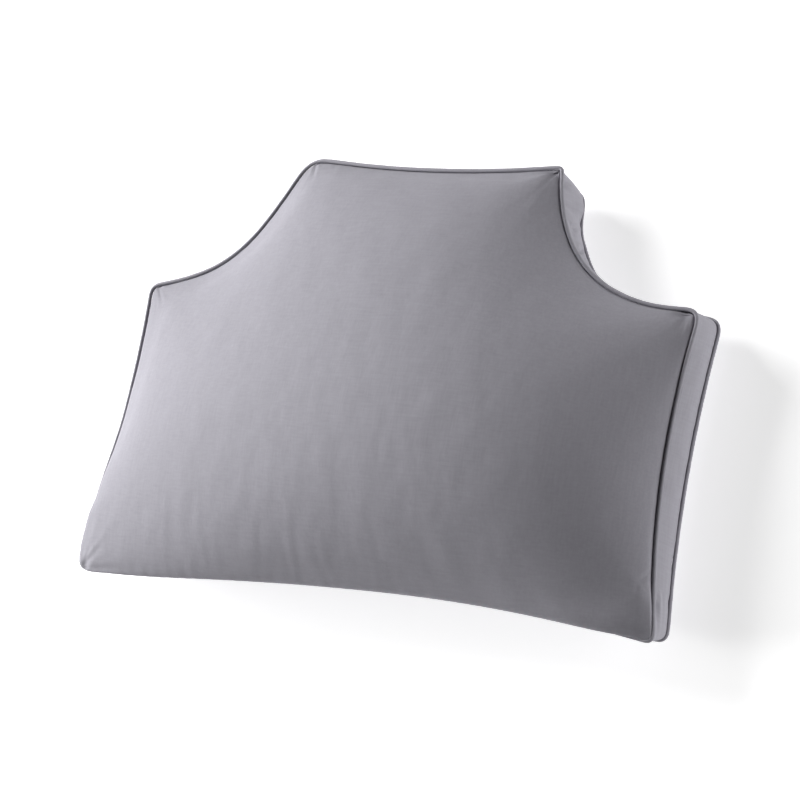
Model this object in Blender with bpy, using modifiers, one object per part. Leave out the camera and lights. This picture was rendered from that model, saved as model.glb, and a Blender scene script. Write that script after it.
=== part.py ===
"""Headboard pillow: a filled, boxed bed pillow lying on its back.

A crowned front panel and a back panel, pressed flat where it rests, are sewn
to a narrow boxing strip that runs all the way round. A covered cord, the
piping, is let into each of the two seams. The outline has a straight bottom,
two shoulders, two hollow necks and a raised middle, and every edge is drawn in
between its corners by the filling.

Frame: +X runs along the bottom edge to the pillow's right, +Y up the face to
the raised middle, +Z out of the face. The back rests on z = 0, and the origin
is under the middle of the pillow's box. Sizes are in metres.
"""
import math
from collections import namedtuple

import bmesh
import bpy
import numpy as np

# Thicknesses, from the floor up
BACK_CROWN = 0.028
BOXING_DEPTH = 0.044
FRONT_CROWN = 0.092

# Piping and boxing strip
PIPING_RADIUS = 0.0025
PIPING_BEVEL_STEPS = 2
STRIP_THICKNESS = 0.0013
STRIP_BULGE = 0.0042
BULGE_ROUNDING = 1.5
STRIP_INSET = 0.0005
SOFT_GAP = 0.0006
RIM_CLEARANCE = 0.0034

# How the panels swell: a low exponent is full to the very edge. The filling
# has settled, so the front's highest place lies low and to the right.
FRONT_FULLNESS = 0.84
SETTLED_LOW = 0.40
SETTLED_RIGHT = 0.52
BACK_FULLNESS = 0.70
BACK_PATCH = 0.55
LOW_SWELL = 0.09

# Plan of each seam. The cut is how much of each edge a rounded corner takes,
# and the rise is how far the corner stands above the seam's level.
Corner = namedtuple("Corner", "x y cut rise")
FRONT_CORNERS = {
    "bottom_left": Corner(-0.392, -0.010, 0.024, 0.006),
    "bottom_right": Corner(0.387, -0.005, 0.012, -0.002),
    "shoulder_right": Corner(0.377, 0.355, 0.020, 0.000),
    "top_right": Corner(0.174, 0.512, 0.007, -0.003),
    "top_left": Corner(-0.174, 0.520, 0.026, -0.002),
    "shoulder_left": Corner(-0.376, 0.352, 0.014, 0.000),
}
BACK_CORNERS = {
    "bottom_left": Corner(-0.386, 0.000, 0.024, 0.004),
    "bottom_right": Corner(0.381, 0.002, 0.014, 0.000),
    "shoulder_right": Corner(0.381, 0.354, 0.016, 0.000),
    "top_right": Corner(0.184, 0.502, 0.022, -0.004),
    "top_left": Corner(-0.176, 0.515, 0.026, 0.000),
    "shoulder_left": Corner(-0.378, 0.352, 0.018, 0.000),
}

# Edges, counter-clockwise. The filling pulls an edge in by its front or back
# draws, a third and two thirds of the way along. The front panel hangs out
# over the seam by the swells, at the edge's start and at its middle.
Edge = namedtuple("Edge", "start end segments front_draws back_draws start_swell middle_swell")
EDGES = (
    Edge("bottom_left", "bottom_right", 40, (0.0175, 0.0225), (0.015, 0.019), 0.013, 0.0155),
    Edge("bottom_right", "shoulder_right", 24, (0.0145, 0.0145), (0.009, 0.009), 0.011, 0.001),
    Edge("shoulder_right", "top_right", 12, None, None, 0.000, 0.000),
    Edge("top_right", "top_left", 8, (0.009, 0.009), (0.006, 0.006), 0.000, 0.001),
    Edge("top_left", "shoulder_left", 12, None, None, 0.000, 0.000),
    Edge("shoulder_left", "bottom_left", 24, (0.008, 0.006), (0.009, 0.007), 0.000, 0.007),
)

# The two bends of each neck, as curve handles by the shoulder and by the top
Neck = namedtuple("Neck", "shoulder_x shoulder_y top_x top_y")
FRONT_NECKS = {
    "shoulder_right": Neck(0.346, 0.352, 0.194, 0.342),
    "top_left": Neck(-0.251, 0.373, -0.234, 0.407),
}
BACK_NECKS = {
    "shoulder_right": Neck(0.262, 0.370, 0.190, 0.360),
    "top_left": Neck(-0.262, 0.374, -0.240, 0.400),
}

# Places where the filling pushes a seam out or up, more than elsewhere
Push = namedtuple("Push", "x y reach out lift")
FRONT_PUSHES = (
    Push(-0.385, 0.085, 0.110, -0.002, 0.007),
)
BACK_PUSHES = (
    Push(-0.380, 0.085, 0.110, 0.000, 0.008),
    Push(0.190, 0.452, 0.025, -0.003, 0.000),
)

# Mesh: the box grid, and where its side rows stand between the two seams
CORNER_SEGMENTS = 4
ACROSS = EDGES[0].segments + CORNER_SEGMENTS
UP = EDGES[1].segments + CORNER_SEGMENTS
SIDE_ROWS = (0.92, 0.72, 0.50, 0.28, 0.08)
RIM_LEAN = math.radians(30)
SWOLLEN_LEAN = math.radians(60)
CURVE_SAMPLES = 400
RIM_STIFFNESS = (2.6, 1.7, 1.25)
RELAX_ROUNDS = 1500

# Cloth colour, sRGB
PANEL_COLOUR = "#96959C"
STRIP_COLOUR = "#93929A"
PIPING_COLOUR = "#8C8B93"
CLOTH_ROUGHNESS = 0.82


def clear_scene():
    """Remove every object that the scene starts with."""
    for item in list(bpy.data.objects):
        bpy.data.objects.remove(item, do_unlink=True)


def linear_colour(code):
    """Linear RGBA of an sRGB hex code."""
    channels = [int(code[k:k + 2], 16) / 255 for k in (1, 3, 5)]
    linear = [c / 12.92 if c <= 0.04045 else ((c + 0.055) / 1.055) ** 2.4 for c in channels]
    return (*linear, 1.0)


def cloth(name, code):
    """A plain woven cotton material of one colour."""
    material = bpy.data.materials.new(name)
    material.use_nodes = True
    shader = material.node_tree.nodes["Principled BSDF"]
    shader.inputs["Base Color"].default_value = linear_colour(code)
    shader.inputs["Roughness"].default_value = CLOTH_ROUGHNESS
    shader.inputs["Metallic"].default_value = 0.0
    return material


def bezier(points, samples=CURVE_SAMPLES):
    """Points along a quadratic or cubic Bezier curve, end points included."""
    t = np.linspace(0.0, 1.0, samples)[:, None]
    level = [np.asarray(p, float)[None, :] for p in points]
    while len(level) > 1:
        level = [(1 - t) * a + t * b for a, b in zip(level, level[1:])]
    return level[0]


def trimmed(curve, start_cut, end_cut, segments):
    """The stretch of a curve between two cuts, as evenly spaced points."""
    steps = np.linalg.norm(np.diff(curve, axis=0), axis=1)
    along = np.concatenate([[0.0], np.cumsum(steps)])
    wanted = np.linspace(start_cut, along[-1] - end_cut, segments + 1)
    return np.stack([np.interp(wanted, along, curve[:, k]) for k in range(2)], axis=1)


def edge_curve(edge, corners, necks, draws):
    """One edge of a seam, corner to corner: drawn in between them, or a neck's double bend."""
    start = np.array(corners[edge.start][:2])
    end = np.array(corners[edge.end][:2])
    if edge.start in necks:
        neck = necks[edge.start]
        by_shoulder = (neck.shoulder_x, neck.shoulder_y)
        by_top = (neck.top_x, neck.top_y)
        handles = [by_shoulder, by_top] if "shoulder" in edge.start else [by_top, by_shoulder]
    else:
        span = end - start
        inward = np.array([-span[1], span[0]]) / np.linalg.norm(span)
        first, second = draws
        pulls = ((2 * first - second) * 1.5, (2 * second - first) * 1.5)
        handles = [start + span * k / 3 + inward * pull for k, pull in zip((1, 2), pulls)]
    return bezier([start, *handles, end])


def seam_plan(corners, necks, draws):
    """Plan points of a seam, counter-clockwise from the middle of the bottom left corner."""
    runs = []
    for edge, pair in zip(EDGES, draws):
        curve = edge_curve(edge, corners, necks, pair)
        runs.append(trimmed(curve, corners[edge.start].cut, corners[edge.end].cut, edge.segments))
    ring = []
    for edge, run, following in zip(EDGES, runs, runs[1:] + runs[:1]):
        turn = bezier([run[-1], corners[edge.end][:2], following[0]], CORNER_SEGMENTS + 1)
        ring += [run, turn[1:-1]]
    return np.roll(np.concatenate(ring), CORNER_SEGMENTS // 2, axis=0)


def ring_places():
    """Ring numbers of the corners' middles, in the order of EDGES' starts, and of the edges' middles."""
    lengths = [edge.segments + CORNER_SEGMENTS for edge in EDGES]
    starts = np.concatenate([[0], np.cumsum(lengths)])
    return starts[:-1], (starts[:-1] + starts[1:]) / 2, starts[-1]


def along_ring(at_corners, at_middles):
    """A value for each ring point, from its values at the corners and at the edges' middles."""
    corners, middles, count = ring_places()
    places = np.concatenate([corners, middles, [count]])
    values = np.concatenate([at_corners, at_middles, at_corners[:1]])
    order = np.argsort(places)
    return np.interp(np.arange(count), places[order], values[order])


def outward(plan):
    """Unit vectors in the plan that point out of a counter-clockwise ring."""
    along = np.roll(plan, -1, axis=0) - np.roll(plan, 1, axis=0)
    along /= np.linalg.norm(along, axis=1)[:, None]
    return np.stack([along[:, 1], -along[:, 0]], axis=1)


def seams():
    """The front and back seam lines, which are the centre lines of their piping, as 3-D rings."""
    rings = []
    front_draws = [edge.front_draws for edge in EDGES]
    back_draws = [edge.back_draws for edge in EDGES]
    rows = (
        (FRONT_CORNERS, FRONT_NECKS, front_draws, FRONT_PUSHES, BACK_CROWN + BOXING_DEPTH),
        (BACK_CORNERS, BACK_NECKS, back_draws, BACK_PUSHES, BACK_CROWN),
    )
    for corners, necks, draws, pushes, height in rows:
        plan = seam_plan(corners, necks, draws)
        rises = np.array([corners[edge.start].rise for edge in EDGES])
        level = height + along_ring(rises, np.zeros(len(EDGES)))
        rings.append(pushed(np.column_stack([plan, level]), pushes))
    return rings


def pushed(ring, pushes):
    """A seam with each push added, fading to nothing at its reach."""
    normals = outward(ring[:, :2])
    moved = ring.copy()
    for push in pushes:
        away = np.hypot(ring[:, 0] - push.x, ring[:, 1] - push.y) / push.reach
        share = np.where(away < 1, (1 + np.cos(np.pi * np.minimum(away, 1))) / 2, 0)
        moved[:, :2] += normals * (share * push.out)[:, None]
        moved[:, 2] += share * push.lift
    return moved


def boxing_ring(front, back, share, offset):
    """A ring on the boxing, at a share of the way from the front seam to the back seam."""
    ring = front + (back - front) * share
    corners, _, count = ring_places()
    places = np.arange(count)
    away = np.min([np.abs((places - c + count / 2) % count - count / 2) for c in corners], axis=0)
    fullness = np.clip(away / CORNER_SEGMENTS, 0.25, 1.0)
    bulge = STRIP_BULGE * fullness * math.sin(math.pi * share) ** BULGE_ROUNDING
    moved = ring.copy()
    moved[:, :2] += outward(ring[:, :2]) * (bulge + offset)[:, None]
    return moved


def ring_number(i, j):
    """The ring number of a grid point on the rim."""
    if j == 0:
        return i
    if i == ACROSS:
        return ACROSS + j
    if j == UP:
        return 2 * ACROSS + UP - i
    return 2 * ACROSS + 2 * UP - j


def on_rim(i, j):
    """Whether a grid point is on the rim."""
    return i in (0, ACROSS) or j in (0, UP)


def relaxed_grid(rim_values):
    """A grid of values that runs smoothly between the values given on its rim.

    Neighbours pull at each other like springs, and the springs by the rim are
    stiffer, so that the grid is finer there.
    """
    grid = np.zeros((ACROSS + 1, UP + 1, rim_values.shape[1]))
    for i in range(ACROSS + 1):
        for j in range(UP + 1):
            if on_rim(i, j):
                grid[i, j] = rim_values[ring_number(i, j) % len(rim_values)]
            else:
                low = rim_values[i]
                high = rim_values[2 * ACROSS + UP - i]
                grid[i, j] = low + (high - low) * j / UP
    across = spring_row(ACROSS)[:, None, None]
    up = spring_row(UP)[None, :, None]
    weight = (across[:-1] + across[1:]) + (up[:, :-1] + up[:, 1:])
    for _ in range(RELAX_ROUNDS):
        pull = across[:-1] * grid[:-2, 1:-1] + across[1:] * grid[2:, 1:-1]
        pull = pull + up[:, :-1] * grid[1:-1, :-2] + up[:, 1:] * grid[1:-1, 2:]
        grid[1:-1, 1:-1] = pull / weight
    return grid


def even_grid(rim_plan):
    """Plan points of a panel's grid, kept from folding over in the hollows of the necks.

    Each point is set from its eight neighbours by the equations of a smooth,
    nearly square-cornered grid, with the same stiffer springs by the rim.
    """
    grid = relaxed_grid(rim_plan)
    across = spring_row(ACROSS)[:, None]
    up = spring_row(UP)[None, :]
    for _ in range(RELAX_ROUNDS):
        east, west = grid[2:, 1:-1], grid[:-2, 1:-1]
        north, south = grid[1:-1, 2:], grid[1:-1, :-2]
        step_across = (east - west) / 2
        step_up = (north - south) / 2
        tall = (step_up ** 2).sum(axis=2)
        wide = (step_across ** 2).sum(axis=2)
        skew = (step_across * step_up).sum(axis=2)[:, :, None] / 2
        by_column = tall[:, :, None] * across[:, :, None][:-1]
        by_column_on = tall[:, :, None] * across[:, :, None][1:]
        by_row = wide[:, :, None] * up[:, :-1, None]
        by_row_on = wide[:, :, None] * up[:, 1:, None]
        diagonal = grid[2:, 2:] - grid[:-2, 2:] - grid[2:, :-2] + grid[:-2, :-2]
        pull = by_column * west + by_column_on * east + by_row * south + by_row_on * north
        weight = by_column + by_column_on + by_row + by_row_on
        grid[1:-1, 1:-1] = (pull - skew * diagonal) / weight
    return grid


def spring_row(count):
    """Stiffness of the springs along a row, stiffest by its two ends."""
    row = np.ones(count)
    row[:len(RIM_STIFFNESS)] = RIM_STIFFNESS
    row[-len(RIM_STIFFNESS):] = RIM_STIFFNESS[::-1]
    return row


def membrane(grid):
    """Heights from 0 to 1 of an even membrane blown up over the grid and held at its rim."""
    shape = grid.shape[:2]
    number = np.arange(shape[0] * shape[1]).reshape(shape)
    corners = (number[:-1, :-1], number[1:, :-1], number[1:, 1:], number[:-1, 1:])
    a, b, c, d = (part.ravel() for part in corners)
    triangles = np.concatenate([np.stack([a, b, c], 1), np.stack([a, c, d], 1)])
    points = grid.reshape(-1, 2)
    stiffness = np.zeros((len(points), len(points)))
    load = np.zeros(len(points))
    for turn in range(3):
        here, left, right = (triangles[:, (turn + k) % 3] for k in range(3))
        to_left = points[left] - points[here]
        to_right = points[right] - points[here]
        doubled_area = to_left[:, 0] * to_right[:, 1] - to_left[:, 1] * to_right[:, 0]
        half_cotangent = (to_left * to_right).sum(1) / doubled_area / 2
        np.add.at(stiffness, (left, right), -half_cotangent)
        np.add.at(stiffness, (right, left), -half_cotangent)
        np.add.at(stiffness, (left, left), half_cotangent)
        np.add.at(stiffness, (right, right), half_cotangent)
        np.add.at(load, here, doubled_area / 6)
    inner = number[1:-1, 1:-1].ravel()
    height = np.zeros(len(points))
    height[inner] = np.linalg.solve(stiffness[np.ix_(inner, inner)], load[inner])
    return (height / height.max()).reshape(shape)


def panel_grid(rim):
    """A flat grid hung in a rim, as 3-D points."""
    return np.concatenate([even_grid(rim[:, :2]), relaxed_grid(rim[:, 2:])], axis=2)


def panel_rim(front, back, share, lean):
    """The rim of a panel, which lies against its piping at an angle above the seam's level."""
    rim = boxing_ring(front, back, share, -RIM_CLEARANCE * np.cos(lean))
    rim[:, 2] += RIM_CLEARANCE * np.sin(lean)
    return rim


def front_panel(rim, swell):
    """Grid points of the front panel: crowned, and hung out over the seam by the swell."""
    grid = panel_grid(rim)
    plan = grid[:, :, :2]
    half_size = (rim[:, :2].max(axis=0) - rim[:, :2].min(axis=0)) / 2
    settled = ((plan - plan.mean(axis=(0, 1))) / half_size) @ (SETTLED_RIGHT, -SETTLED_LOW)
    swollen = membrane(plan) * np.exp(settled)
    rise = (swollen / swollen.max()) ** FRONT_FULLNESS
    push = relaxed_grid(outward(rim[:, :2]) * swell[:, None])
    lowness = rise / LOW_SWELL * np.exp(1 - rise / LOW_SWELL)
    grid[:, :, :2] += push * lowness[:, :, None]
    grid[:, :, 2] += rise * FRONT_CROWN
    return grid


def back_panel(rim):
    """Grid points of the back panel: swollen by the seam, and pressed flat on the floor."""
    grid = panel_grid(rim)
    pressed = np.minimum(membrane(grid[:, :, :2]) ** BACK_FULLNESS / BACK_PATCH, 1.0)
    sink = pressed * (2.0 - pressed)
    grid[:, :, 2] *= 1.0 - sink
    return grid


def box_grid(across, up, rows):
    """A closed box of quads, cut into a grid, with its cuts at whole numbers."""
    mesh = bmesh.new()
    bmesh.ops.create_cube(mesh, size=1.0)
    for axis, cuts in ((0, across), (1, up), (2, rows)):
        edges = [e for e in mesh.edges if abs(e.verts[0].co[axis] - e.verts[1].co[axis]) > 0.5 / cuts]
        bmesh.ops.subdivide_edges(mesh, edges=edges, cuts=cuts - 1, use_grid_fill=True)
    for vertex in mesh.verts:
        vertex.co = [round((vertex.co[k] + 0.5) * n) for k, n in enumerate((across, up, rows))]
    return mesh


def add_object(name, data, collection, material):
    """Put a mesh or a curve in the scene under its name, in its material."""
    item = bpy.data.objects.new(name, data)
    data.materials.append(material)
    collection.objects.link(item)
    return item


def mesh_object(name, mesh, collection, material):
    """Turn a bmesh into a smooth object."""
    data = bpy.data.meshes.new(name)
    mesh.to_mesh(data)
    mesh.free()
    data.shade_smooth()
    return add_object(name, data, collection, material)


def filled_body(front, back, shift, collection):
    """The filled pillow itself, from panel to panel, with its side let in for the boxing strip."""
    starts = np.array([edge.start_swell for edge in EDGES])
    middles = np.array([edge.middle_swell for edge in EDGES])
    swell = along_ring(starts, middles)
    lean = RIM_LEAN + (SWOLLEN_LEAN - RIM_LEAN) * swell / swell.max()
    top = front_panel(panel_rim(front, back, 0.0, lean), swell)
    bottom = back_panel(panel_rim(front, back, 1.0, np.full(len(back), -RIM_LEAN)))
    behind_strip = -(STRIP_INSET + STRIP_THICKNESS + SOFT_GAP)
    sides = [(1.0, -RIM_CLEARANCE), *((share, behind_strip) for share in SIDE_ROWS), (0.0, -RIM_CLEARANCE)]
    rings = [boxing_ring(front, back, share, offset) for share, offset in sides]
    rows = len(rings) + 1
    mesh = box_grid(ACROSS, UP, rows)
    for vertex in mesh.verts:
        i, j, k = (int(n) for n in vertex.co)
        if k == rows:
            point = top[i, j]
        elif k == 0:
            point = bottom[i, j]
        else:
            point = rings[k - 1][ring_number(i, j) % len(front)]
        vertex.co = point + shift
    return mesh_object("filled_body", mesh, collection, cloth("panel_cotton", PANEL_COLOUR))


def boxing_strip(front, back, shift, collection):
    """The strip of cloth between the two seams, as a ring with the cloth's thickness."""
    count = len(front)
    rows = len(SIDE_ROWS)
    rings = [boxing_ring(front, back, share, -STRIP_INSET) for share in SIDE_ROWS]
    mesh = bmesh.new()
    bmesh.ops.create_cone(mesh, segments=count, radius1=1.0, radius2=1.0, depth=1.0)
    upright = [e for e in mesh.edges if abs(e.verts[0].co.z - e.verts[1].co.z) > 0.5]
    bmesh.ops.subdivide_edges(mesh, edges=upright, cuts=rows - 2)
    for vertex in mesh.verts:
        turn = round(math.atan2(vertex.co.y, vertex.co.x) / math.tau * count)
        row = round((vertex.co.z + 0.5) * (rows - 1))
        vertex.co = rings[row][turn % count] + shift
    item = mesh_object("boxing_strip", mesh, collection, cloth("strip_cotton", STRIP_COLOUR))
    wall = item.modifiers.new("cloth thickness", "SOLIDIFY")
    wall.thickness = STRIP_THICKNESS
    wall.offset = -1.0
    return item


def piping(name, ring, shift, collection, material):
    """A covered cord that follows one seam all the way round."""
    data = bpy.data.curves.new(name, "CURVE")
    data.dimensions = "3D"
    data.twist_mode = "Z_UP"
    data.bevel_depth = PIPING_RADIUS
    data.bevel_resolution = PIPING_BEVEL_STEPS
    line = data.splines.new("POLY")
    line.points.add(len(ring) - 1)
    for point, place in zip(line.points, ring + shift):
        point.co = (*place, 1.0)
    line.use_cyclic_u = True
    return add_object(name, data, collection, material)


def main():
    """Build the pillow's pieces around its two seams."""
    clear_scene()
    collection = bpy.data.collections.new("headboard_pillow")
    bpy.context.scene.collection.children.link(collection)
    front, back = seams()
    strip = boxing_ring(front, back, 0.5, 0.0)
    outline = np.concatenate([front, back, strip])
    middle = (outline.min(axis=0) + outline.max(axis=0)) / 2
    shift = np.array([-middle[0], -middle[1], 0.0])
    filled_body(front, back, shift, collection)
    boxing_strip(front, back, shift, collection)
    cord_cover = cloth("piping_cotton", PIPING_COLOUR)
    piping("front_piping", front, shift, collection, cord_cover)
    piping("back_piping", back, shift, collection, cord_cover)


main()
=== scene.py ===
"""Headboard pillow lying on its back in a plain studio.

A filled, boxed bed pillow in smooth grey cotton: one filled body with its front and back panels, the
boxing strip round its side, and a covered cord in each of the two seams. Sizes are in metres.
"""
import logging
import math
from dataclasses import dataclass, field, replace
from enum import Enum

import bmesh
import bpy
import numpy as np
from mathutils import Matrix, Vector, noise
from mathutils.kdtree import KDTree


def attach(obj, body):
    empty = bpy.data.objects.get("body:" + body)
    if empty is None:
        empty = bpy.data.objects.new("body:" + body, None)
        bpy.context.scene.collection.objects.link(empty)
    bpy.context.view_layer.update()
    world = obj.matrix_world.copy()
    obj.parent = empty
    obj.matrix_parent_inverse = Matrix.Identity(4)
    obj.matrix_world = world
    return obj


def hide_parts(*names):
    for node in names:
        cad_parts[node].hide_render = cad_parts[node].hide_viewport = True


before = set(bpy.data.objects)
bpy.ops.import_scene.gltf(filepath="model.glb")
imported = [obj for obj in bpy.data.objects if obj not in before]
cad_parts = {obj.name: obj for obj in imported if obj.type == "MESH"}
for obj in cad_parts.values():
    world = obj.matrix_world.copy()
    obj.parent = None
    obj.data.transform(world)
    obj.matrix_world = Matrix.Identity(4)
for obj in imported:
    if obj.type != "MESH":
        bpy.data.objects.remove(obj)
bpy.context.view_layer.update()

BODY = "root"
SEAM_LEVEL = 0.072
MERGE_DISTANCE = 0.00005

log = logging.getLogger("pillow")


class Weave(Enum):
    """Which way the cloth's threads run on a piece."""

    STRAIGHT = 0.0
    BIAS = math.radians(45)


def linear(code: str) -> tuple[float, float, float, float]:
    """Turn an sRGB hex code into a linear colour.

    Args:
        code: Six hex digits after a hash sign.

    Returns:
        The linear red, green, blue and alpha.
    """
    channels = [int(code[k:k + 2], 16) / 255 for k in (1, 3, 5)]
    r, g, b = (c / 12.92 if c <= 0.04045 else ((c + 0.055) / 1.055) ** 2.4 for c in channels)
    return r, g, b, 1.0


def add_node(tree: bpy.types.NodeTree, kind: str, settings: dict | None = None,
             values: dict | None = None, links: dict | None = None) -> bpy.types.Node:
    """Add a node with its settings, its values and what feeds it.

    Args:
        tree: The material's node tree.
        kind: The node's type name.
        settings: Properties of the node itself.
        values: Unlinked input values by input name or number.
        links: Output sockets by the input name or number that they feed.

    Returns:
        The new node.
    """
    node = tree.nodes.new(kind)
    for name, value in (settings or {}).items():
        setattr(node, name, value)
    for name, value in (values or {}).items():
        node.inputs[name].default_value = value
    for name, socket in (links or {}).items():
        tree.links.new(socket, node.inputs[name])
    return node


def only(*pieces: bpy.types.Object) -> None:
    """Select only these objects, the first of them active.

    Args:
        pieces: The objects to select.
    """
    bpy.ops.object.select_all(action="DESELECT")
    for piece in pieces:
        piece.select_set(True)
    bpy.context.view_layer.objects.active = pieces[0]


def points_of(piece: bpy.types.Object) -> np.ndarray:
    """The piece's vertex places.

    Args:
        piece: The mesh object.

    Returns:
        One row for each vertex.
    """
    flat = np.empty(len(piece.data.vertices) * 3)
    piece.data.vertices.foreach_get("co", flat)
    return flat.reshape(-1, 3)


def normals_of(piece: bpy.types.Object) -> np.ndarray:
    """The piece's vertex normals.

    Args:
        piece: The mesh object.

    Returns:
        One row for each vertex.
    """
    flat = np.empty(len(piece.data.vertices) * 3)
    piece.data.vertex_normals.foreach_get("vector", flat)
    return flat.reshape(-1, 3)


def set_points(piece: bpy.types.Object, places: np.ndarray) -> None:
    """Move the piece's vertices.

    Args:
        piece: The mesh object.
        places: The new places, one row for each vertex.
    """
    piece.data.vertices.foreach_set("co", places.ravel())
    piece.data.update()


def apply_modifier(piece: bpy.types.Object, name: str, kind: str, **settings: object) -> None:
    """Add a modifier and apply it at once.

    Args:
        piece: The mesh object.
        name: The modifier's name.
        kind: The modifier's type.
        settings: Its settings.
    """
    only(piece)
    modifier = piece.modifiers.new(name, kind)
    for key, value in settings.items():
        setattr(modifier, key, value)
    bpy.ops.object.modifier_apply(modifier=name)


def copy_of_node(node: str, name: str) -> bpy.types.Object:
    """A merged copy of a CAD node's mesh in quads, as a piece of its own.

    Args:
        node: The CAD node's name.
        name: The new piece's name.

    Returns:
        The new piece, at the origin.
    """
    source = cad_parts[node]
    piece = bpy.data.objects.new(name, source.data.copy())
    piece.data.name = name
    piece.data.materials.clear()
    bpy.context.scene.collection.objects.link(piece)
    only(piece)
    bpy.ops.object.mode_set(mode="EDIT")
    bpy.ops.mesh.select_all(action="SELECT")
    bpy.ops.mesh.remove_doubles(threshold=MERGE_DISTANCE)
    bpy.ops.mesh.tris_convert_to_quads(face_threshold=math.pi, shape_threshold=math.pi)
    bpy.ops.mesh.normals_make_consistent(inside=False)
    bpy.ops.object.mode_set(mode="OBJECT")
    return piece


def smooth_steps(share: np.ndarray) -> np.ndarray:
    """An even rise from 0 to 1, level at both ends."""
    clipped = np.clip(share, 0.0, 1.0)
    return clipped * clipped * (3 - 2 * clipped)


def plan_directions(places: np.ndarray) -> np.ndarray:
    """The level direction from the pillow's middle to each place, one row of unit length each."""
    return places[:, :2] / np.linalg.norm(places[:, :2], axis=1)[:, None]


def share_of_turns(places: np.ndarray, turns: tuple[float, float], softness: float) -> np.ndarray:
    """How much each place lies between two turns round the pillow's middle.

    Args:
        places: The places, one row each.
        turns: The first and the last turn, in degrees from 0 to 360.
        softness: How many degrees the rise and the fall take.

    Returns:
        One share for each place, from 0 to 1.
    """
    turn = np.degrees(np.arctan2(places[:, 1], places[:, 0])) % 360
    first, last = turns
    return smooth_steps((turn - first) / softness) * smooth_steps((last - turn) / softness)


def noise_at(places: np.ndarray, wavelength: float, seed: float = 0.0) -> np.ndarray:
    """Smooth noise from about -1 to 1 at each place.

    Args:
        places: The places, one row each.
        wavelength: The size of its largest waves, in metres.
        seed: Which part of the noise to use.

    Returns:
        One value for each place.
    """
    shift = Vector((seed, seed * 1.7, -seed))
    return np.array([noise.noise(Vector(place) / wavelength + shift) for place in places])


class SeamLine:
    """The centre line of a seam's piping, found from its CAD node, once round the pillow."""

    STEPS = 720
    AVERAGING_STEPS = 5.0

    def __init__(self, node: str) -> None:
        """Find the line.

        Args:
            node: The piping's CAD node.
        """
        places = points_of(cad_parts[node])
        turns = self.turn(places)
        self.turns = np.linspace(-math.pi, math.pi, self.STEPS + 1)
        reach = math.tau / self.STEPS * self.AVERAGING_STEPS
        rows = []
        for turn in self.turns:
            away = np.abs((turns - turn + math.pi) % math.tau - math.pi)
            weights = np.exp(-(away / reach) ** 2)
            rows.append(weights @ places / weights.sum())
        self.centres = np.array(rows)
        steps = np.linalg.norm(np.diff(self.centres, axis=0), axis=1)
        self.lengths = np.concatenate([[0.0], np.cumsum(steps)])

    def turn(self, places: np.ndarray) -> np.ndarray:
        """The angle of each place round the pillow's middle."""
        return np.arctan2(places[:, 1], places[:, 0])

    def along(self, places: np.ndarray) -> np.ndarray:
        """How far along the seam each place lies, in metres."""
        return np.interp(self.turn(places), self.turns, self.lengths)

    def centre(self, places: np.ndarray) -> np.ndarray:
        """The point of the line that each place lies by."""
        turns = self.turn(places)
        return np.stack([np.interp(turns, self.turns, self.centres[:, k]) for k in range(3)], axis=1)

    def round_trip(self) -> float:
        """The seam's whole length in metres."""
        return float(self.lengths[-1])


def lay_threads(piece: bpy.types.Object, seam: SeamLine, across: np.ndarray) -> None:
    """Give a ring a UV map in metres, with U along the seam and V across the cloth.

    Args:
        piece: The ring, all in quads.
        seam: The seam that it follows.
        across: The distance across the cloth, for each vertex.
    """
    corners = np.empty(len(piece.data.loops), dtype=int)
    piece.data.loops.foreach_get("vertex_index", corners)
    along = seam.along(points_of(piece))[corners]
    faces = np.empty(len(piece.data.polygons), dtype=int)
    piece.data.polygons.foreach_get("loop_total", faces)
    face_of = np.repeat(np.arange(len(faces)), faces)
    highest = np.full(len(faces), -1.0)
    np.maximum.at(highest, face_of, along)
    behind = highest[face_of] - along > seam.round_trip() / 2
    layer = piece.data.uv_layers.new(name="threads")
    uv = np.column_stack([along + behind * seam.round_trip(), across[corners]])
    layer.data.foreach_set("uv", uv.ravel())


@dataclass(frozen=True)
class Crease:
    """A soft fold, pressed in from its start to its end, in the plan or in space."""

    start: tuple[float, ...]
    end: tuple[float, ...]
    half_width: float
    depth: float

    def depths(self, places: np.ndarray) -> np.ndarray:
        """How deep the fold presses each place, with a low ridge on either side.

        Args:
            places: The places, one row each.

        Returns:
            One depth for each place, in metres.
        """
        start, end = np.array(self.start), np.array(self.end)
        span = end - start
        from_start = places[:, :len(start)] - start
        share = from_start @ span / (span @ span)
        beside = from_start - np.clip(share, 0, 1)[:, None] * span
        away = np.linalg.norm(beside, axis=1) / self.half_width
        fading = smooth_steps(1.15 - share) * smooth_steps((share + 0.15) * 4)
        return self.depth * fading * (np.exp(-away ** 2) - 0.4 * np.exp(-((away - 1.9) ** 2)))


@dataclass(frozen=True)
class Dimple:
    """A small hollow where a corner's tucks meet."""

    place: tuple[float, ...]
    reach: float
    depth: float

    def depths(self, places: np.ndarray) -> np.ndarray:
        """How deep the hollow is at each place, in metres."""
        away = np.linalg.norm(places[:, :len(self.place)] - self.place, axis=1) / self.reach
        return self.depth * np.exp(-away ** 2)


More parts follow.
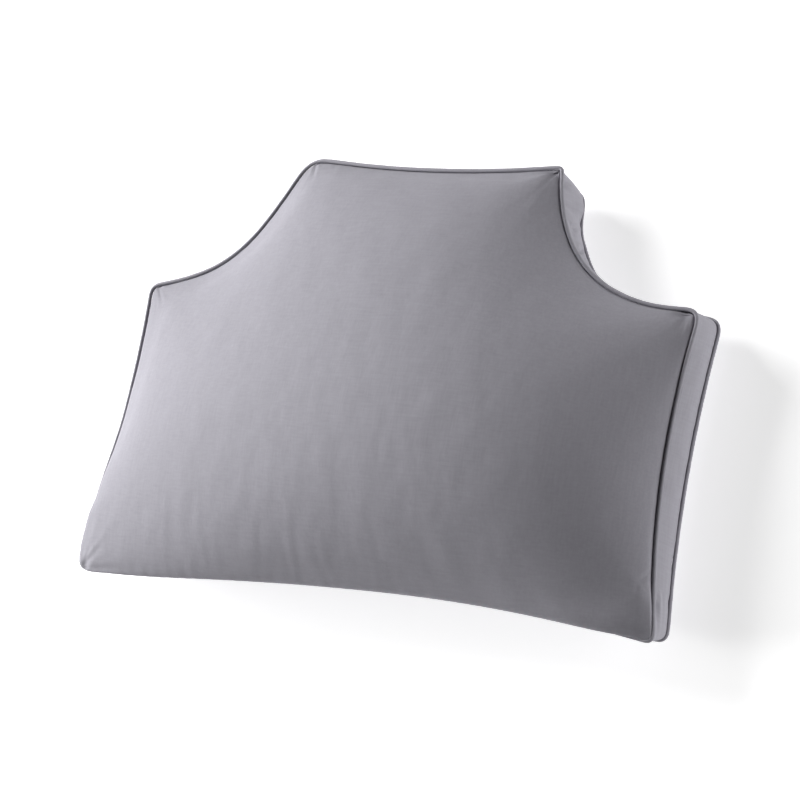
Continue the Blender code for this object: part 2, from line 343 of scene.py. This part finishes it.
@dataclass(frozen=True)
class TensionFan:
    """Shallow folds that spread out from a corner, where the seam pulls the cloth tight."""

    corner: tuple[float, float]
    reach: float
    fold_angle: float
    depth: float
    seed: float

    def depths(self, places: np.ndarray) -> np.ndarray:
        """How deep the folds press each place.

        Args:
            places: The places, one row each.

        Returns:
            One depth for each place, in metres.
        """
        away = places[:, :2] - self.corner
        radius = np.linalg.norm(away, axis=1)
        rows = np.column_stack([np.arctan2(away[:, 1], away[:, 0]) / self.fold_angle, radius / self.reach,
                                np.zeros(len(places))])
        return self.depth * noise_at(rows, 1.0, self.seed) * np.exp(-(radius / self.reach) ** 2)


@dataclass(frozen=True)
class Ripples:
    """A patch of fine, uneven ripples in the cloth."""

    middle: tuple[float, float]
    reach: tuple[float, float]
    waves: tuple[float, float]
    depth: float
    seed: float

    def depths(self, places: np.ndarray) -> np.ndarray:
        """How deep the ripples press each place.

        Args:
            places: The places, one row each.

        Returns:
            One depth for each place, in metres.
        """
        plan = places[:, :2]
        rows = np.column_stack([plan / self.waves, np.zeros(len(places))])
        fading = np.exp(-(((plan - self.middle) / self.reach) ** 2).sum(axis=1))
        return self.depth * noise_at(rows, 1.0, self.seed) * fading


@dataclass(frozen=True)
class EdgeRun:
    """A stretch of the front seam, between two turns round the pillow's middle in degrees.

    The panel hangs over the seam there, or draws back from it where the overhang is negative, and
    the filling stands higher or lower just inside it.
    """

    turns: tuple[float, float]
    overhang: float
    fullness: float
    softness: float = 7.0
    level: float = SEAM_LEVEL + 0.012
    half_height: float = 0.011
    overhang_reach: float = 0.030
    fullness_peak: float = 0.030
    fullness_start: float = 0.012
    least_slope: float = 0.3

    def shifts(self, places: np.ndarray, normals: np.ndarray, away: np.ndarray) -> np.ndarray:
        """How far each place of the front panel moves.

        Args:
            places: The places, one row each.
            normals: The surface's normals there.
            away: The distance of each place from the seam.

        Returns:
            One shift for each place, in metres.
        """
        slope = np.maximum(np.linalg.norm(normals[:, :2], axis=1), self.least_slope)
        outwards = normals[:, :2] / slope[:, None]
        level = np.exp(-((places[:, 2] - self.level) / self.half_height) ** 2)
        near = smooth_steps(1.6 - away / self.overhang_reach)
        inside = away / self.fullness_peak
        above_seam = smooth_steps((places[:, 2] - SEAM_LEVEL) / self.fullness_start)
        rise = self.fullness * inside * np.exp(1 - inside) * above_seam
        shifts = np.column_stack([self.overhang * outwards * (level * near)[:, None], rise])
        return shifts * share_of_turns(places, self.turns, self.softness)[:, None]


@dataclass(frozen=True)
class WovenCotton:
    """Percale cotton: a close, smooth plain weave, mercerised to a slight sheen.

    It looks matt and even, with a soft light edge where it turns away. Real threads stand 0.25 mm
    apart, too fine for the render, so the weave is drawn as faint streaks along both threads, about
    ten threads wide, that show as a soft grain.
    """

    name: str
    colour: str
    weave: Weave = Weave.STRAIGHT
    follows_surface: bool = False
    roughness: float = 0.78
    specular: float = 0.35
    sheen: float = 0.12
    sheen_roughness: float = 0.45
    sheen_tint: str = "#E4E2EC"
    thread_mm: float = 2.4
    slub_length_mm: float = 26.0
    relief_mm: float = 0.05
    grain: float = 0.17
    mottle_mm: float = 70.0
    mottle: float = 0.03

    def material(self) -> bpy.types.Material:
        """Build the cloth's material.

        Returns:
            The new material.
        """
        material = bpy.data.materials.new(self.name)
        material.use_nodes = True
        tree = material.node_tree
        shader = tree.nodes["Principled BSDF"]
        shader.inputs["Roughness"].default_value = self.roughness
        shader.inputs["Specular IOR Level"].default_value = self.specular
        shader.inputs["Sheen Weight"].default_value = self.sheen
        shader.inputs["Sheen Roughness"].default_value = self.sheen_roughness
        shader.inputs["Sheen Tint"].default_value = linear(self.sheen_tint)
        source = "UV" if self.follows_surface else "Object"
        coordinates = add_node(tree, "ShaderNodeTexCoord").outputs[source]
        turned = add_node(tree, "ShaderNodeMapping", values={"Rotation": (0, 0, self.weave.value)},
                          links={"Vector": coordinates}).outputs[0]
        streaks = [self.streaks(tree, turned, along) for along in (0, 1)]
        threads = add_node(tree, "ShaderNodeMath", {"operation": "ADD"},
                           links={0: streaks[0], 1: streaks[1]}).outputs[0]
        mottle = add_node(tree, "ShaderNodeTexNoise",
                          values={"Scale": 1000 / self.mottle_mm, "Detail": 3.0},
                          links={"Vector": coordinates}).outputs[0]
        shade = add_node(tree, "ShaderNodeMath", {"operation": "MULTIPLY_ADD"},
                         values={1: self.grain, 2: 1 - self.grain}, links={0: threads}).outputs[0]
        cloudy = add_node(tree, "ShaderNodeMath", {"operation": "MULTIPLY_ADD"},
                          values={1: 2 * self.mottle, 2: 1 - self.mottle}, links={0: mottle}).outputs[0]
        factor = add_node(tree, "ShaderNodeMath", {"operation": "MULTIPLY"},
                          links={0: shade, 1: cloudy}).outputs[0]
        colour = add_node(tree, "ShaderNodeVectorMath", {"operation": "SCALE"},
                          values={0: linear(self.colour)[:3]}, links={"Scale": factor}).outputs[0]
        tree.links.new(colour, shader.inputs["Base Color"])
        bump = add_node(tree, "ShaderNodeBump", values={"Strength": 1.0, "Distance": self.relief_mm / 1000},
                        links={"Height": threads}).outputs[0]
        tree.links.new(bump, shader.inputs["Normal"])
        return material

    def streaks(self, tree: bpy.types.NodeTree, vector: bpy.types.NodeSocket,
                along: int) -> bpy.types.NodeSocket:
        """Noise drawn out along one of the two thread directions.

        Args:
            tree: The material's node tree.
            vector: The turned coordinates.
            along: 0 for threads along X and 1 for threads along Y.

        Returns:
            The streaks' height, from 0 to 1.
        """
        scale = [1000 / self.thread_mm] * 3
        scale[along] = 1000 / self.slub_length_mm
        drawn = add_node(tree, "ShaderNodeMapping", values={"Scale": scale},
                         links={"Vector": vector}).outputs[0]
        return add_node(tree, "ShaderNodeTexNoise",
                        values={"Scale": 1.0, "Detail": 2.0, "Roughness": 0.6},
                        links={"Vector": drawn}).outputs[0]


PANEL_COTTON = WovenCotton("percale_cotton_panels", "#98969E")
# The boxing strip is the same cloth as the panels. Its colour is drawn a little lighter as painted light,
# standing in for the brighter sheen and fill light on the strip.
STRIP_COTTON = WovenCotton("percale_cotton_boxing", "#9E9CA4", follows_surface=True)
PIPING_COTTON = WovenCotton("percale_cotton_bias_cut", "#98969E", weave=Weave.BIAS, follows_surface=True)


@dataclass
class FilledBody:
    """The filled pillow: both panels and the filling between them."""

    name: str = "pillow_body"
    node: str = "filled_body"
    fill: float = 0.85
    pressure: float = 4.0
    frames: int = 20
    most_movement: float = 0.004
    held_by_seam: tuple[float, float] = (0.0025, 0.010)
    fullness_reach: float = 0.030
    fullness_at_seam: float = 0.05
    corner_reach: float = 0.045
    side_level: float = 0.052
    room_for_strip: float = 0.0035
    side_half_height: float = 0.015
    side_fading: float = 0.006
    corners: tuple[tuple[float, float], ...] = (
        (-0.375, -0.255), (0.375, -0.205), (0.168, 0.247), (0.360, 0.092), (-0.160, 0.250), (-0.360, 0.095),
    )
    edges: tuple[EdgeRun, ...] = (
        EdgeRun((204.0, 333.0), 0.0055, 0.0, softness=4.0),
        EdgeRun((116.0, 203.0), -0.0024, 0.0),
        EdgeRun((190.0, 345.0), 0.0, 0.0050, softness=60.0),
        EdgeRun((30.0, 150.0), 0.0, 0.0035, softness=50.0),
    )
    creases: tuple[Crease, ...] = (
        Crease((-0.378, -0.259), (-0.340, -0.226), 0.0036, 0.00045),
        Crease((-0.378, -0.262), (-0.300, -0.256), 0.0036, 0.0006),
        Crease((-0.2508, -0.192), (-0.2500, -0.216), 0.0030, 0.00022),
        Crease((-0.2383, -0.160), (-0.2290, -0.236), 0.0080, 0.00026),
        Crease((-0.2000, -0.160), (-0.2060, -0.230), 0.0080, 0.00022),
        Crease((0.0448, -0.100), (0.0459, -0.150), 0.0060, 0.00010),
        Crease((0.0686, -0.092), (0.0715, -0.145), 0.0050, 0.00010),
        Crease((0.0992, -0.100), (0.0840, -0.150), 0.0055, 0.00012),
        Crease((0.3350, 0.0300), (0.2500, -0.050), 0.0160, 0.00050),
        Crease((-0.1635, 0.2570), (-0.1570, 0.2330), 0.0028, 0.0007),
        Crease((-0.1345, 0.2600), (-0.1290, 0.2430), 0.0022, 0.0005),
        Crease((-0.1215, 0.2590), (-0.1200, 0.2410), 0.0022, 0.0004),
        Crease((-0.3620, 0.0980), (-0.3480, 0.0780), 0.0028, 0.0006),
        Crease((0.3745, -0.1850), (0.3672, -0.2020), 0.0018, 0.0006),
        Crease((0.3672, -0.2020), (0.3690, -0.2230), 0.0018, 0.0005),
        Crease((0.1710, 0.2530), (0.1350, 0.2460), 0.0040, 0.0010),
        Crease((0.1700, 0.2510), (0.1600, 0.2150), 0.0050, 0.0006),
        Crease((0.3640, 0.0960), (0.3400, 0.0880), 0.0040, 0.0012),
        Crease((0.3640, 0.0940), (0.3590, 0.0650), 0.0040, 0.0007),
    )
    dimples: tuple[Dimple, ...] = (
        Dimple((0.1690, 0.2490), 0.009, 0.0026),
        Dimple((0.3620, 0.0940), 0.010, 0.0024),
        Dimple((-0.3745, -0.2565), 0.006, 0.0018),
    )
    fans: tuple[TensionFan, ...] = (
        TensionFan((-0.381, -0.262), 0.080, 0.20, 0.00060, 2.0),
        TensionFan((0.368, 0.098), 0.200, 0.13, 0.00026, 4.0),
        TensionFan((0.172, 0.253), 0.080, 0.22, 0.00045, 6.0),
        TensionFan((-0.166, 0.259), 0.050, 0.22, 0.00040, 8.0),
        TensionFan((-0.366, 0.101), 0.060, 0.22, 0.00040, 10.0),
        TensionFan((0.380, -0.213), 0.060, 0.25, 0.00030, 12.0),
    )
    ripples: tuple[Ripples, ...] = (
        Ripples((-0.15, -0.21), (0.22, 0.07), (0.010, 0.050), 0.00036, 1.0),
        Ripples((0.05, -0.12), (0.14, 0.10), (0.013, 0.050), 0.00032, 5.0),
        Ripples((0.02, 0.17), (0.16, 0.07), (0.050, 0.013), 0.00030, 7.0),
        Ripples((0.00, 0.00), (0.60, 0.40), (0.034, 0.044), 0.00055, 2.0),
        Ripples((0.00, 0.00), (0.60, 0.40), (0.013, 0.017), 0.00022, 9.0),
    )

    def build(self) -> bpy.types.Object:
        """Model the body and dress it.

        Returns:
            The finished piece.
        """
        piece = copy_of_node(self.node, self.name)
        apply_modifier(piece, "rounder form", "SUBSURF", levels=1, render_levels=1)
        self.fill_out(piece)
        apply_modifier(piece, "finer cloth", "SUBSURF", levels=1, render_levels=1)
        self.shape_edges(piece)
        self.refine_corners(piece)
        self.fold(piece)
        only(piece)
        bpy.ops.object.shade_smooth()
        piece.data.materials.append(PANEL_COTTON.material())
        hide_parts(self.node)
        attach(piece, BODY)
        return piece

    def seam_distance(self, places: np.ndarray) -> np.ndarray:
        """How far each place is from the nearer piping.

        Args:
            places: The places, one row each.

        Returns:
            One distance for each place, in metres.
        """
        cords = np.concatenate([points_of(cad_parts[node]) for node in ("front_piping", "back_piping")])
        tree = KDTree(len(cords))
        for number, place in enumerate(cords):
            tree.insert(place, number)
        tree.balance()
        return np.array([tree.find(place)[2] for place in places])

    def fill_out(self, piece: bpy.types.Object) -> None:
        """Blow the front panel up with the seams held, so that the cloth by the seams puckers.

        Args:
            piece: The body's mesh.
        """
        start = points_of(piece)
        normals = normals_of(piece)
        away = self.seam_distance(start)
        front = smooth_steps((start[:, 2] - SEAM_LEVEL + 0.004) / 0.008)
        front *= smooth_steps(normals[:, 2] * 2 + 0.5)
        near, far = self.held_by_seam
        free = smooth_steps((away - near) / (far - near)) * front
        weights = {"held": 1 - free, "full": np.exp(-away / self.fullness_reach) * front}
        for name, values in weights.items():
            group = piece.vertex_groups.new(name=name)
            for index in np.flatnonzero(values > 0.001):
                group.add([int(index)], float(values[index]), "REPLACE")
        cloth = piece.modifiers.new("filling", "CLOTH")
        settings = cloth.settings
        settings.quality = 6
        settings.mass = 0.2
        settings.tension_stiffness = 12
        settings.compression_stiffness = 12
        settings.shear_stiffness = 4
        settings.bending_stiffness = 0.05
        settings.vertex_group_mass = "held"
        settings.vertex_group_shrink = "full"
        settings.shrink_min = 0.0
        settings.shrink_max = -self.fullness_at_seam
        settings.use_pressure = True
        settings.uniform_pressure_force = self.pressure
        settings.effector_weights.gravity = 0.0
        cloth.collision_settings.use_collision = False
        cloth.point_cache.frame_end = self.frames
        scene = bpy.context.scene
        for number in range(1, self.frames + 1):
            scene.frame_set(number)
        settled = piece.evaluated_get(bpy.context.evaluated_depsgraph_get())
        moved = points_of(settled) - start
        piece.modifiers.remove(cloth)
        piece.vertex_groups.clear()
        scene.frame_set(1)
        size = np.linalg.norm(moved, axis=1)
        kept = self.most_movement * np.tanh(size / self.most_movement) / np.maximum(size, 1e-9)
        log.info("filling moved the cloth %.1f mm at most, %.1f mm kept", size.max() * 1000,
                 (size * kept).max() * 1000)
        set_points(piece, start + moved * (kept * free)[:, None])

    def shape_edges(self, piece: bpy.types.Object) -> None:
        """Shape the front panel along its seam, and draw the filling in behind the boxing strip.

        Args:
            piece: The body's mesh.
        """
        places = points_of(piece)
        normals = normals_of(piece)
        away = self.seam_distance(places)
        front = (places[:, 2] > SEAM_LEVEL) & (normals[:, 2] > -0.6)
        shifts = sum(edge.shifts(places, normals, away) for edge in self.edges) * front[:, None]
        off_middle = np.abs(places[:, 2] - self.side_level)
        side = smooth_steps((self.side_half_height - off_middle) / self.side_fading)
        upright = smooth_steps((0.85 - np.abs(normals[:, 2])) / 0.2)
        drawn_in = self.room_for_strip * upright * side
        set_points(piece, places + shifts - normals * drawn_in[:, None])

    def refine_corners(self, piece: bpy.types.Object) -> None:
        """Cut the front panel's faces finer by the corners, for their small tucks.

        Args:
            piece: The body's mesh.
        """
        only(piece)
        bpy.ops.object.mode_set(mode="EDIT")
        bpy.ops.mesh.select_mode(type="FACE")
        bpy.ops.mesh.select_all(action="DESELECT")
        mesh = bmesh.from_edit_mesh(piece.data)
        for face in mesh.faces:
            middle = face.calc_center_median()
            if middle.z > SEAM_LEVEL - 0.006 and face.normal.z > -0.2:
                plan = middle.xy
                near = any((plan - Vector(corner)).length < self.corner_reach for corner in self.corners)
                face.select_set(near)
        bmesh.update_edit_mesh(piece.data)
        bpy.ops.mesh.subdivide(number_cuts=1, smoothness=0.0)
        bpy.ops.object.mode_set(mode="OBJECT")

    def fold(self, piece: bpy.types.Object) -> None:
        """Press the creases, dimples, fans and ripples into the front panel.

        Args:
            piece: The body's mesh.
        """
        places = points_of(piece)
        normals = normals_of(piece)
        facing = smooth_steps(normals[:, 2] * 2) * (places[:, 2] > SEAM_LEVEL - 0.006)
        marks = (*self.creases, *self.dimples, *self.fans, *self.ripples)
        depth = sum(mark.depths(places) for mark in marks)
        set_points(piece, places - normals * (depth * facing)[:, None])


@dataclass
class BoxingStrip:
    """The strip of cloth between the two seams, a little gathered where the outline turns in."""

    name: str = "boxing_cloth"
    node: str = "boxing_strip"
    cut_length: float = 2.28
    cut_width: float = 0.040
    thickness: float = 0.0012
    smoothing_levels: int = 3
    gather_length: float = 0.022
    gather_depth: float = 0.0007
    seam_pucker_length: float = 0.007
    seam_pucker_depth: float = 0.0005
    rim_share: float = 0.22
    fold_slant: float = 0.35
    neck: tuple[float, float, float] = (0.200, 0.190, 0.050)
    neck_reach: float = 0.050
    neck_gather: float = 1.4
    creases: tuple[Crease, ...] = (
        Crease((0.1800, 0.2440, 0.0720), (0.1830, 0.2420, 0.0520), 0.0022, 0.0024),
        Crease((0.1770, 0.2340, 0.0690), (0.1850, 0.2360, 0.0540), 0.0024, 0.0024),
        Crease((0.1850, 0.2150, 0.0680), (0.1900, 0.2100, 0.0420), 0.0035, 0.0016),
        Crease((0.1960, 0.1900, 0.0580), (0.1935, 0.1960, 0.0380), 0.0024, 0.0024),
        Crease((0.1930, 0.1970, 0.0680), (0.2070, 0.1760, 0.0660), 0.0026, -0.0010),
        Crease((0.2150, 0.1610, 0.0690), (0.2000, 0.1750, 0.0340), 0.0024, 0.0024),
        Crease((0.2300, 0.1450, 0.0700), (0.2250, 0.1480, 0.0400), 0.0035, 0.0014),
        Crease((0.3790, -0.2140, 0.0660), (0.3830, -0.2480, 0.0600), 0.0026, 0.0012),
        Crease((0.3800, -0.2050, 0.0600), (0.3850, -0.2480, 0.0550), 0.0030, -0.0010),
        Crease((0.3798, -0.2020, 0.0630), (0.3798, -0.2046, 0.0616), 0.0010, 0.0006),
        Crease((0.3760, -0.0900, 0.0500), (0.3745, -0.0500, 0.0520), 0.0040, 0.0004),
        Crease((0.3720, 0.0600, 0.0620), (0.3750, 0.0700, 0.0420), 0.0035, 0.0005),
    )
    dimples: tuple[Dimple, ...] = (
        Dimple((0.1860, 0.2200, 0.0330), 0.012, -0.0022),
        Dimple((0.1900, 0.2050, 0.0330), 0.006, 0.0016),
        Dimple((0.3780, -0.1700, 0.0310), 0.008, 0.0010),
        Dimple((0.3790, -0.2100, 0.0310), 0.006, 0.0010),
    )

    def build(self) -> bpy.types.Object:
        """Model the strip from the outer wall of its solid, and dress it.

        Returns:
            The finished piece.
        """
        piece = copy_of_node(self.node, self.name)
        self.keep_outer_wall(piece)
        apply_modifier(piece, "rounder form", "SUBSURF", levels=self.smoothing_levels,
                       render_levels=self.smoothing_levels)
        seam = SeamLine("front_piping")
        self.crumple(piece, seam)
        lay_threads(piece, seam, points_of(piece)[:, 2])
        apply_modifier(piece, "cloth thickness", "SOLIDIFY", thickness=self.thickness, offset=-1.0)
        only(piece)
        bpy.ops.object.shade_smooth()
        piece.data.materials.append(STRIP_COTTON.material())
        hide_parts(self.node)
        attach(piece, BODY)
        return piece

    def keep_outer_wall(self, piece: bpy.types.Object) -> None:
        """Delete the faces that look inwards and the two narrow rims.

        Args:
            piece: The copied ring.
        """
        mesh = bmesh.new()
        mesh.from_mesh(piece.data)
        walls: list[set[bmesh.types.BMFace]] = []
        left = {face for face in mesh.faces if abs(face.normal.z) <= 0.8}
        while left:
            waiting = [left.pop()]
            wall = set(waiting)
            while waiting:
                near = {other for edge in waiting.pop().edges for other in edge.link_faces} & left
                left -= near
                wall |= near
                waiting += near
            walls.append(wall)
        outer = max(walls, key=lambda wall: sum(face.calc_area() for face in wall))
        bmesh.ops.delete(mesh, geom=[face for face in mesh.faces if face not in outer], context="FACES")
        mesh.to_mesh(piece.data)
        mesh.free()

    def crumple(self, piece: bpy.types.Object, seam: SeamLine) -> None:
        """Gather the strip between its seams, pucker it along them, and press its creases in.

        Args:
            piece: The strip's outer wall.
            seam: The front seam.
        """
        places = points_of(piece)
        normals = normals_of(piece)
        heights = places[:, 2]
        low, high = heights.min(), heights.max()
        share = (heights - low) / (high - low)
        along = seam.along(places)
        folds = np.column_stack([along, heights * self.fold_slant, np.zeros(len(places))])
        middle = np.sin(math.pi * share)
        rim = np.exp(-((1 - np.abs(2 * share - 1)) / self.rim_share) ** 2)
        rise = self.gather_depth * middle * noise_at(folds, self.gather_length, 3.1)
        rise += self.seam_pucker_depth * rim * noise_at(folds, self.seam_pucker_length, 8.4)
        from_neck = (along - self.unrolled(self.neck, seam)[0]) / self.neck_reach
        rise *= 1 + self.neck_gather * np.exp(-from_neck ** 2)
        unrolled = np.column_stack([along, heights])
        for crease in self.creases:
            ends = {"start": self.unrolled(crease.start, seam), "end": self.unrolled(crease.end, seam)}
            rise -= replace(crease, **ends).depths(unrolled)
        for dimple in self.dimples:
            rise -= replace(dimple, place=self.unrolled(dimple.place, seam)).depths(unrolled)
        set_points(piece, places + normals * rise[:, None])

    def unrolled(self, place: tuple[float, float, float], seam: SeamLine) -> tuple[float, float]:
        """Where a place lies on the strip laid out flat.

        Args:
            place: A place on the strip.
            seam: The front seam.

        Returns:
            The distance along the seam, and the height.
        """
        return float(seam.along(np.array([place]))[0]), place[2]


@dataclass
class Piping:
    """A cord covered in bias-cut cloth, sewn into a seam.

    Between its slim turns, where it has them, the cord is thinner and drawn in behind the strip.
    """

    name: str
    node: str
    seed: float
    radius: float = 0.0025
    slim_turns: tuple[float, float] | None = None
    slim_softness: float = 7.0
    slimming: float = 0.3
    drawn_in: float = 0.0016
    smoothing_levels: int = 2
    unevenness: float = 0.00022
    unevenness_length: float = 0.009
    wrap_radius: float = 0.003
    wrap_turns: float = 80.0

    def build(self) -> bpy.types.Object:
        """Model the piping and dress it.

        Returns:
            The finished piece.
        """
        piece = copy_of_node(self.node, self.name)
        apply_modifier(piece, "rounder form", "SUBSURF", levels=self.smoothing_levels,
                       render_levels=self.smoothing_levels)
        seam = SeamLine(self.node)
        places = points_of(piece)
        offset = places - seam.centre(places)
        along = seam.along(places)
        outwards = plan_directions(places)
        turn = np.arctan2(offset[:, 2], np.einsum("ij,ij->i", offset[:, :2], outwards))
        wrap = turn + along * self.wrap_turns
        twist = np.column_stack([along, self.wrap_radius * np.cos(wrap), self.wrap_radius * np.sin(wrap)])
        rise = self.unevenness * noise_at(twist, self.unevenness_length, self.seed)
        moved = places + normals_of(piece) * rise[:, None]
        if self.slim_turns:
            slim = share_of_turns(places, self.slim_turns, self.slim_softness)[:, None]
            moved -= offset * self.slimming * slim
            moved[:, :2] -= outwards * self.drawn_in * slim
        set_points(piece, moved)
        lay_threads(piece, seam, turn * self.radius)
        only(piece)
        bpy.ops.object.shade_smooth()
        piece.data.materials.append(PIPING_COTTON.material())
        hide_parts(self.node)
        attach(piece, BODY)
        return piece


@dataclass(frozen=True)
class Softbox:
    """A large soft lamp that faces the pillow."""

    name: str
    azimuth: float
    elevation: float
    distance: float
    width: float
    height: float
    watts: float

    def build(self) -> None:
        """Place the lamp and turn it to the pillow."""
        data = bpy.data.lights.new(self.name, "AREA")
        data.shape = "RECTANGLE"
        data.size = self.width
        data.size_y = self.height
        data.energy = self.watts
        lamp = bpy.data.objects.new(self.name, data)
        bpy.context.scene.collection.objects.link(lamp)
        turn, rise = math.radians(self.azimuth), math.radians(self.elevation)
        away = Vector((math.cos(turn) * math.cos(rise), math.sin(turn) * math.cos(rise), math.sin(rise)))
        middle = Vector((0.0, 0.0, SEAM_LEVEL))
        lamp.location = middle + away * self.distance
        lamp.rotation_euler = away.to_track_quat("Z", "Y").to_euler()


@dataclass
class Studio:
    """Floor, lamps and camera."""

    floor_size: float = 14.0
    floor_level: float = -0.0004
    floor_colour: str = "#F2F2F2"
    floor_glow: float = 0.6
    daylight: float = 0.06
    lens_mm: float = 108.0
    sensor_mm: float = 36.0
    camera_place: tuple[float, float, float] = (1.52400, -0.49268, 2.29850)
    camera_right: tuple[float, float, float] = (0.83212, 0.18739, -0.52198)
    camera_view: tuple[float, float, float] = (-0.55099, 0.17226, -0.81654)
    lamps: tuple[Softbox, ...] = field(default_factory=lambda: (
        Softbox("key_softbox", 190, 20, 3.0, 1.3, 1.0, 78.0),
        Softbox("high_key_softbox", 150, 35, 3.0, 1.3, 1.0, 72.0),
        Softbox("low_key_softbox", 160, 20, 3.0, 1.3, 1.0, 24.0),
        Softbox("fill_softbox", 10, 8, 3.0, 1.3, 1.0, 32.0),
        Softbox("near_fill_softbox", 330, 8, 3.0, 1.3, 1.0, 5.0),
    ))

    def build(self) -> None:
        """Set the studio up."""
        self.build_floor()
        for lamp in self.lamps:
            lamp.build()
        self.build_daylight()
        self.build_camera()

    def build_floor(self) -> None:
        """Lay the plain pale floor, a white acrylic sheet that is softly lit from below."""
        bpy.ops.object.select_all(action="DESELECT")
        bpy.ops.mesh.primitive_plane_add(size=self.floor_size, location=(0, 0, self.floor_level))
        floor = bpy.context.object
        floor.name = "studio_floor"
        material = bpy.data.materials.new("opal_acrylic_sheet")
        material.use_nodes = True
        shader = material.node_tree.nodes["Principled BSDF"]
        shader.inputs["Base Color"].default_value = linear(self.floor_colour)
        shader.inputs["Roughness"].default_value = 0.95
        shader.inputs["Specular IOR Level"].default_value = 0.1
        shader.inputs["Emission Color"].default_value = linear("#FFFFFF")
        shader.inputs["Emission Strength"].default_value = self.floor_glow
        floor.data.materials.append(material)

    def build_daylight(self) -> None:
        """Add the even light that the white walls give back."""
        world = bpy.data.worlds.new("white_walls")
        bpy.context.scene.world = world
        world.use_nodes = True
        background = world.node_tree.nodes["Background"]
        background.inputs["Color"].default_value = linear("#FFFFFF")
        background.inputs["Strength"].default_value = self.daylight

    def build_camera(self) -> None:
        """Place the camera at the photograph's angle."""
        data = bpy.data.cameras.new("studio_camera")
        data.lens = self.lens_mm
        data.sensor_width = self.sensor_mm
        data.sensor_fit = "HORIZONTAL"
        camera = bpy.data.objects.new("studio_camera", data)
        bpy.context.scene.collection.objects.link(camera)
        back = -Vector(self.camera_view).normalized()
        right = Vector(self.camera_right)
        right = (right - back * right.dot(back)).normalized()
        up = back.cross(right)
        turn = Matrix((right, up, back)).transposed()
        camera.matrix_world = Matrix.Translation(self.camera_place) @ turn.to_4x4()
        bpy.context.scene.camera = camera


def main() -> None:
    """Build the pillow's pieces in order, then the studio around them."""
    logging.basicConfig(level=logging.INFO, format="%(name)s: %(message)s")
    builders = (
        FilledBody(),
        BoxingStrip(),
        Piping("front_piping_cord", "front_piping", 1.3),
        Piping("back_piping_cord", "back_piping", 5.7, slim_turns=(40.0, 66.0)),
    )
    for builder in builders:
        piece = builder.build()
        log.info("%s: %d faces", piece.name, len(piece.data.polygons))
    bpy.context.scene.view_settings.view_transform = "Standard"
    Studio().build()


if __name__ == "__main__":
    main()
